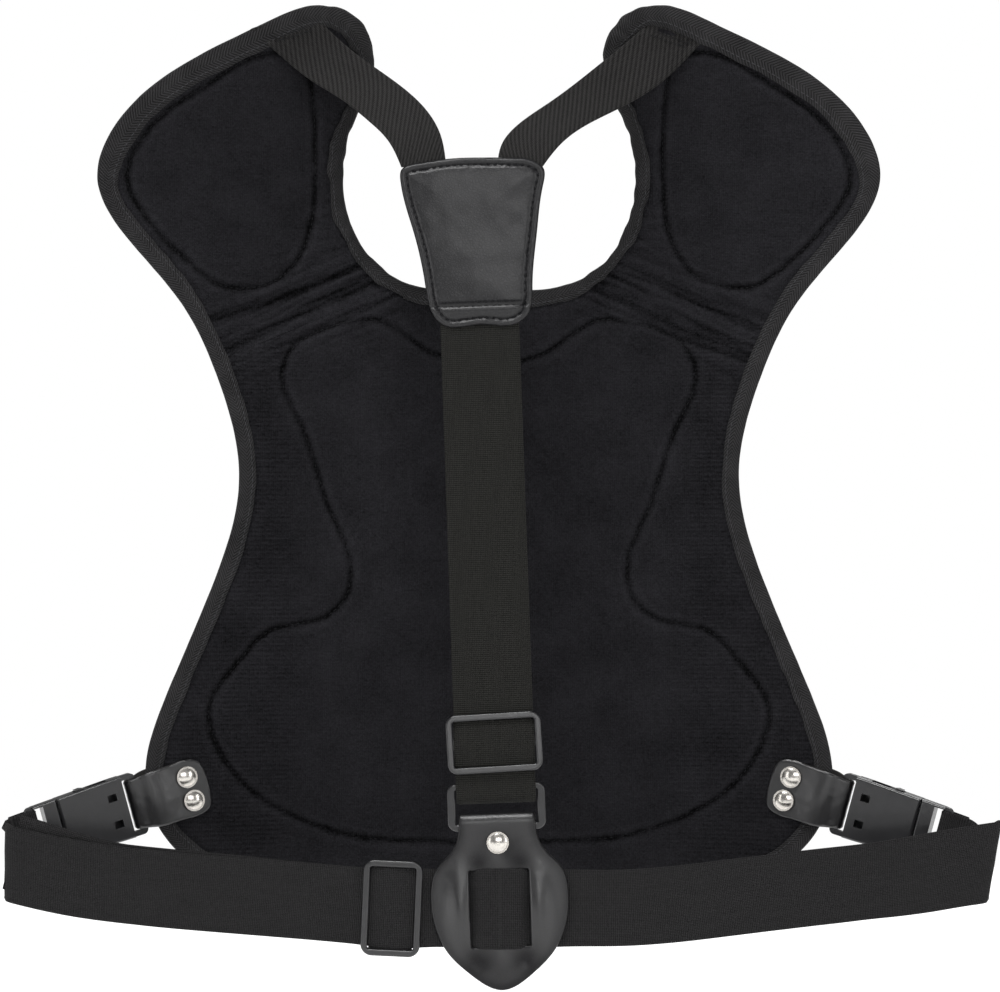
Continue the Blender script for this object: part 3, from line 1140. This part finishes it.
def tab_rear(points):
    return tab_place(points, 1.0 - 0.75 * tab_rise(points) * smooth((70 - points[:, 1]) / 10))


def tab_dull(points):
    """Where the tab's polish is gone: round its edge, at the slits' corners and under the rivet."""
    x, s = points.T
    corners = bell(np.hypot(np.abs(x) - 13, s - 17), 7) + 0.8 * bell(np.hypot(np.abs(x) - 11, s - 66), 6)
    middle = 0.5 * bell(np.hypot(x * 0.7, s - RIVET_S + 2), 13) + 0.45 * bell(np.hypot(x * 0.8, s - 7), 12)
    return np.clip(0.55 * bell(depth_in(TAB_SHAPE, points), 3.6) + 0.75 * corners + middle, 0, 0.85)


slab("belt_tab_leather", TAB_SHAPE, 0.6 * COARSE, tab_front, tab_rear, [SMOOTH_LEATHER, CUT_EDGE], holes=SLITS,
     rim_material=1, crease=tab_dull, body="tab_group", slot="black_leather", stands_for=["belt_tab"])

SIDE_LINE = cubic([
    (-39, 7.3), (-30, 7.3), (-16, 7.3), (-6.5, 7.2), (-2.6, 5.6), (0.8, 3.9), (3.2, 2.0), (3.6, 0),
    (3.2, -2.0), (0.8, -3.7), (-2.6, -5.0), (-7, -6.5), (-16, -6.6), (-30, -6.6), (-39, -6.6),
], 0.4, False)
SIDE_LENGTH = along(SIDE_LINE)[-1]
HALF = SIDE_LENGTH / 2
SIDE_EDGE = [(6, 0), (12.5, 2.2), (15.4, 8.5), (15.4, 17), (14.9, HALF - 14), (13.6, HALF - 5), (13.4, HALF)]
SIDE_EDGE += [(x, SIDE_LENGTH - at) for x, at in reversed(SIDE_EDGE[:-1])]
SIDE_SHAPE = cubic(SIDE_EDGE + other_side(SIDE_EDGE), 0.4, True)
RIVET_PLACES = np.array([(6.5, 11.0), (-6.8, 10.4)])


def side_rise(points):
    """Thickness of a side tab's leather above its middle: dips at its rivets and swells beside the buckle."""
    x, s = points.T
    end = np.minimum(s, SIDE_LENGTH - s)
    dip = sum(0.75 * bell(np.hypot(x - px, end - ps), 7.5) for px, ps in RIVET_PLACES)
    swell = 1.3 * bell(end - 26, 8) * bell(x, 11) - 0.6 * bell(end - 36, 3)
    creases = 0.25 * cloudy(x / 9, s / 9, 95) + 0.08 * cloudy(x / 3, s / 4, 96)
    return 1.0 + (swell + creases) * smooth(end / 8) - dip


def side_tab(side):
    place = folded(SIDE_LINE, lambda v, off: on_buckle(off[:, 0], v, off[:, 1], side))

    def outside(points):
        return place(points, -(side_rise(points) - edge_round(points, SIDE_SHAPE)))

    def inward(points):
        return place(points, np.full(len(points), 0.95))

    slab(side + "_side_tab_leather", SIDE_SHAPE, 0.8 * COARSE, outside, inward, [SMOOTH_LEATHER, CUT_EDGE],
         rim_material=1, body="vest", slot="black_leather", stands_for=[side + "_side_tab"])


side_tab("left")
side_tab("right")


# ---- what stays of the CAD ----

MOULDED = [f"{side}_{part}" for side in ("left", "right")
           for part in ("buckle_socket", "buckle_insert", "upper_prong", "lower_prong")]
for material, names in ((PLASTIC, ["back_strap_slider", "belt_slider", "strap_ring", *MOULDED]),
                        (NICKEL, ["belt_tab_rivet", "left_side_rivets", "right_side_rivets"])):
    for name in names:
        NODES[name].data.materials.clear()
        NODES[name].data.materials.append(material)


# ---- floor, light and camera ----

def floor():
    mesh = bpy.data.meshes.new("floor")
    corners = (-1.3, -1.4), (1.3, -1.4), (1.3, 1.1), (-1.3, 1.1)
    mesh.from_pydata([(x, y, -0.43) for x, y in corners], [], [(0, 1, 2, 3)])
    made = placed("floor", mesh)
    p = Paint("pale_floor", cad=True, Roughness=0.9, Specular_IOR_Level=0.0)
    p.colours(p.noise(400, 2), (0.93, 0.93, 0.93), (0.97, 0.97, 0.97))
    p.shader.inputs["Emission Color"].default_value = (1, 1, 1, 1)
    p.shader.inputs["Emission Strength"].default_value = 0.35
    mesh.materials.append(p.mat)


def softbox(name, place, target, size, power):
    light = bpy.data.lights.new(name, "AREA")
    light.shape, light.size, light.size_y, light.energy = "RECTANGLE", size[0], size[1], power
    made = placed(name, light)
    made.location = place
    run = np.array(target) - np.array(place)
    made.rotation_mode = "QUATERNION"
    made.rotation_quaternion = Vector(run).to_track_quat("-Z", "Y")


def surroundings():
    """White all round as the camera sees it, and softer as a source of light."""
    world = bpy.data.worlds.new("studio")
    bpy.context.scene.world = world
    world.use_nodes = True
    tree = world.node_tree
    tree.nodes.clear()
    seen, lit = tree.nodes.new("ShaderNodeBackground"), tree.nodes.new("ShaderNodeBackground")
    lit.inputs["Strength"].default_value = 0.2
    seen.inputs["Color"].default_value = lit.inputs["Color"].default_value = (1, 1, 1, 1)
    pick, path, out = (tree.nodes.new("ShaderNode" + kind) for kind in ("MixShader", "LightPath", "OutputWorld"))
    tree.links.new(path.outputs["Is Camera Ray"], pick.inputs[0])
    tree.links.new(lit.outputs[0], pick.inputs[1])
    tree.links.new(seen.outputs[0], pick.inputs[2])
    tree.links.new(pick.outputs[0], out.inputs[0])


floor()
surroundings()
softbox("front", (0.35, -2.8, 0.55), (0, 0, -0.1), (1.5, 0.9), 20)
softbox("top", (-0.4, -0.9, 1.5), (0, 0, -0.05), (1.1, 0.5), 30)
softbox("left", (-1.8, -1.0, 0.1), (0, 0, -0.1), (0.6, 1.4), 9)
softbox("right", (1.8, -1.2, 0.3), (0, 0, -0.1), (0.6, 1.2), 9)
softbox("back", (0.4, 1.8, 1.2), (0, 0, -0.1), (1.4, 1.0), 24)

camera = placed("camera", bpy.data.cameras.new("camera"))
camera.location, camera.rotation_euler = (0.006, -2.0, -0.1133), (math.pi / 2, 0, 0)
camera.data.sensor_width, camera.data.lens = 36.0, 130.9
camera.data.clip_start = 0.05
bpy.context.scene.camera = camera
bpy.context.scene.view_settings.view_transform = "Standard"
